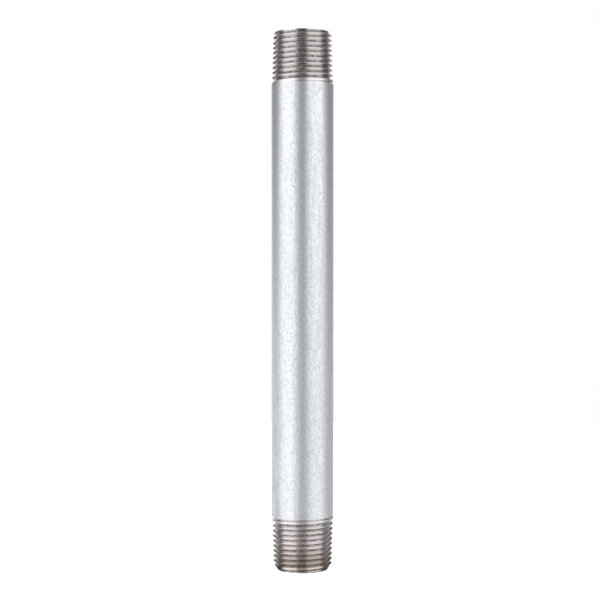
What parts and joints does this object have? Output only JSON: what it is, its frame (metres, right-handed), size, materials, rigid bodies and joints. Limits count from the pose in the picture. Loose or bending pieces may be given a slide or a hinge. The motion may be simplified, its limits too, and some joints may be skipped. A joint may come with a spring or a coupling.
{
  "type": "threaded pipe nipple",
  "caption": "Straight galvanised steel pipe nipple with a plain round body, male taper pipe threads on both ends and a through bore.",
  "frame": {"origin": "centre of the lower end face, on the pipe's axis", "axes": "+Z along the pipe's axis towards the upper end; X and Y across the pipe, with the mid-point of the body's front at -Y"},
  "size_m": [0.0176, 0.0176, 0.1524],
  "materials": {
    "cut_steel": "bare low-carbon steel, die cut, light film of thread oil",
    "hot_dip_zinc": "hot-dip zinc, wiped smooth, faint lengthwise streaks",
    "bore_zinc": "hot-dip zinc, blown out, dull and slightly uneven"
  },
  "bodies": {
    "root": {"pipe_wall": "cut_steel", "zinc_coat_outside": "hot_dip_zinc", "zinc_coat_bore": "bore_zinc"}
  },
  "joints": []
}
